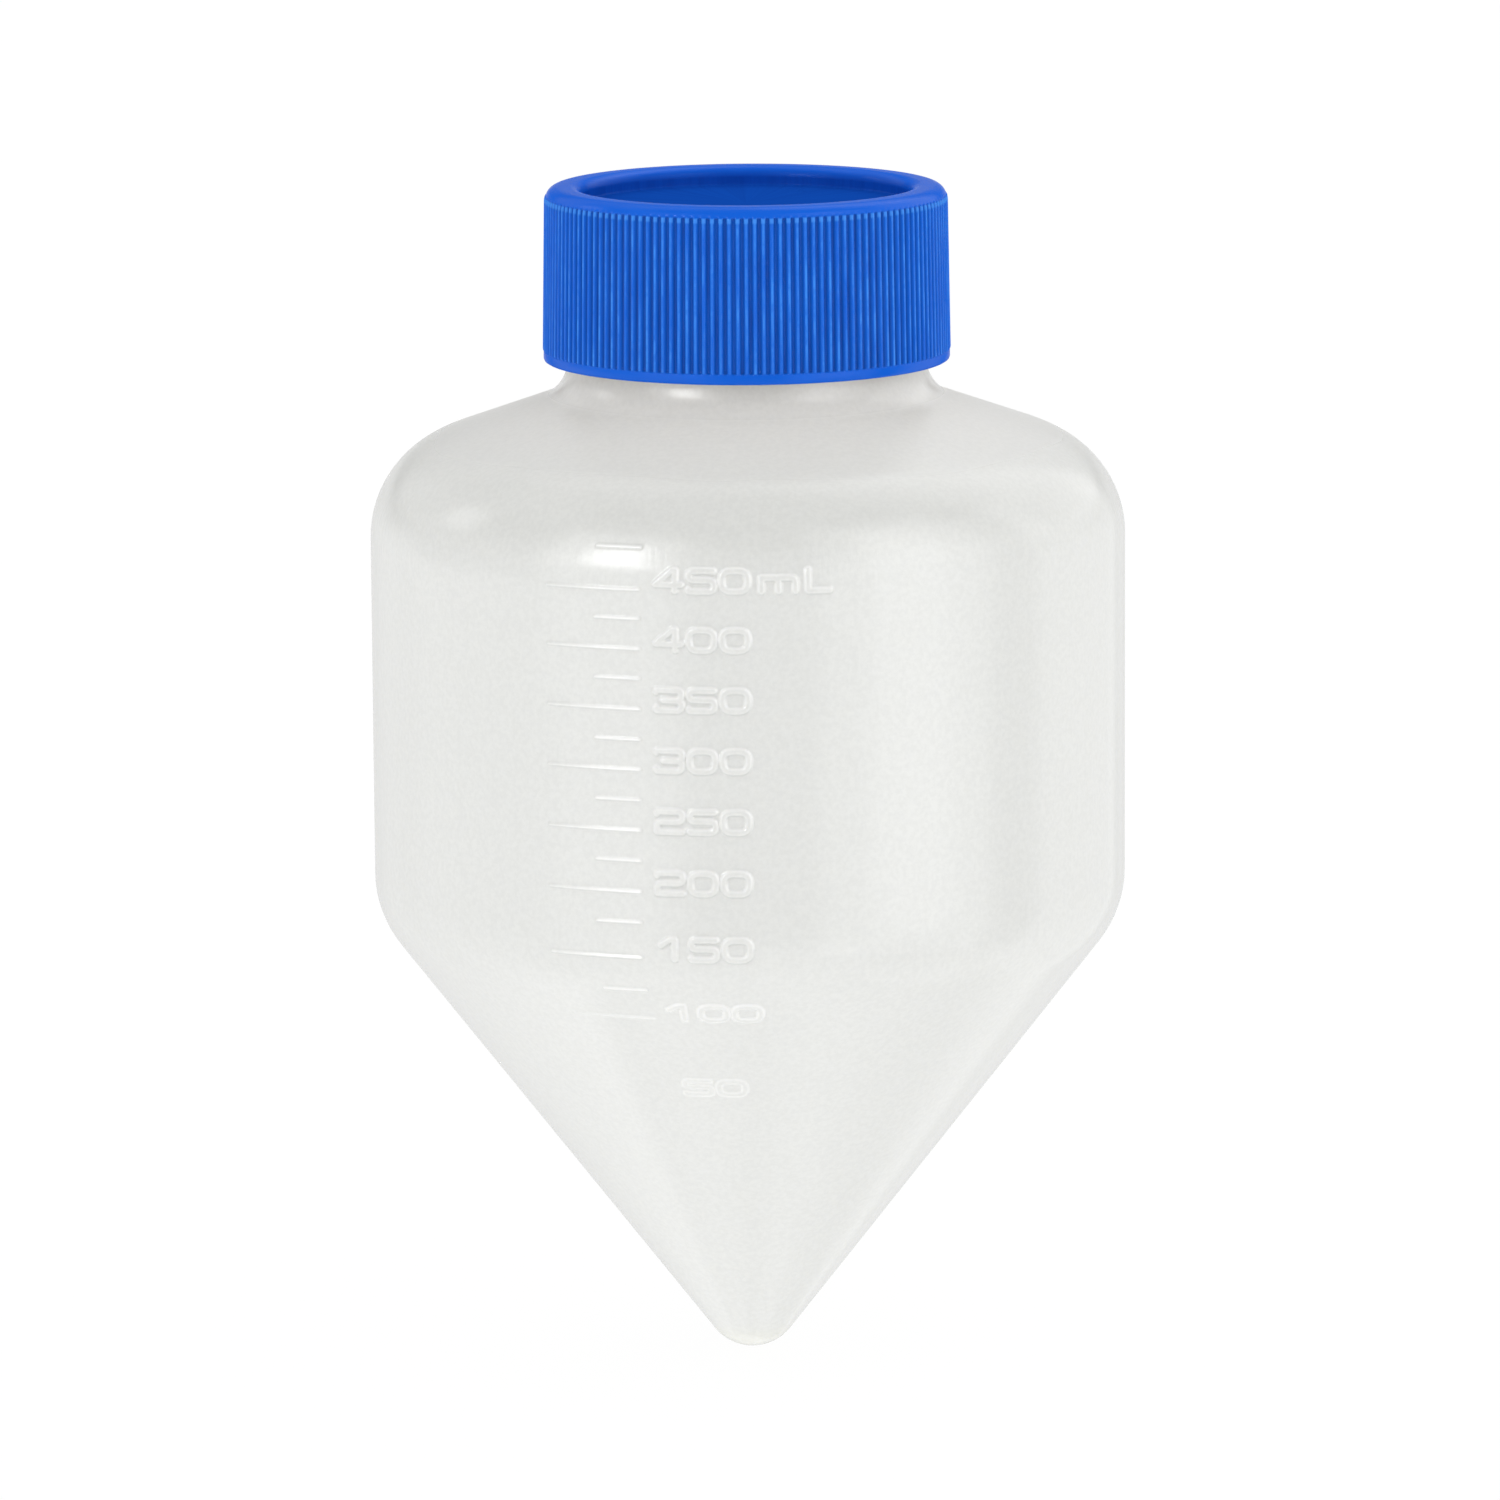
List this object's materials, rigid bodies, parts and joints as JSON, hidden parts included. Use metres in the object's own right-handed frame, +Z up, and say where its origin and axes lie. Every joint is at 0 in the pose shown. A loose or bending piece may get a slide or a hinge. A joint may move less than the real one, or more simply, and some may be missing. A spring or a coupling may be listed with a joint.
{
  "type": "conical centrifuge bottle",
  "caption": "Wide conical-bottom centrifuge bottle with moulded volume marks, a short threaded neck, and a finely ribbed screw cap with a sunken crown and a plug seal.",
  "frame": {"origin": "lowest point of the rounded tip, on the bottle's axis", "axes": "+Z up along the bottle's axis towards the cap; the graduated side faces -Y"},
  "size_m": [0.096, 0.096, 0.1506],
  "materials": {
    "bottle_plastic": "translucent natural polypropylene, satin",
    "cap_plastic": "opaque royal blue, satin gloss",
    "seal": "soft natural elastomer"
  },
  "bodies": {
    "bottle": {"bottle": "bottle_plastic"},
    "seal": {"seal_ring": "seal"},
    "cap": {"screw_cap": "cap_plastic"}
  },
  "joints": [
    {"name": "cap_lift", "type": "slide", "parent": "bottle", "child": "seal", "axis": [0, 0, 1], "range_m": [0, 0.02117]},
    {"name": "cap_turn", "type": "hinge", "parent": "seal", "child": "cap", "pos_m": [0, 0, 0.1398], "axis": [0, 0, 1], "range_deg": [0, 1800]}
  ],
  "couplings": [
    {"joint": "cap_turn", "follows": "cap_lift", "rad_per_m": 1484.2}
  ]
}
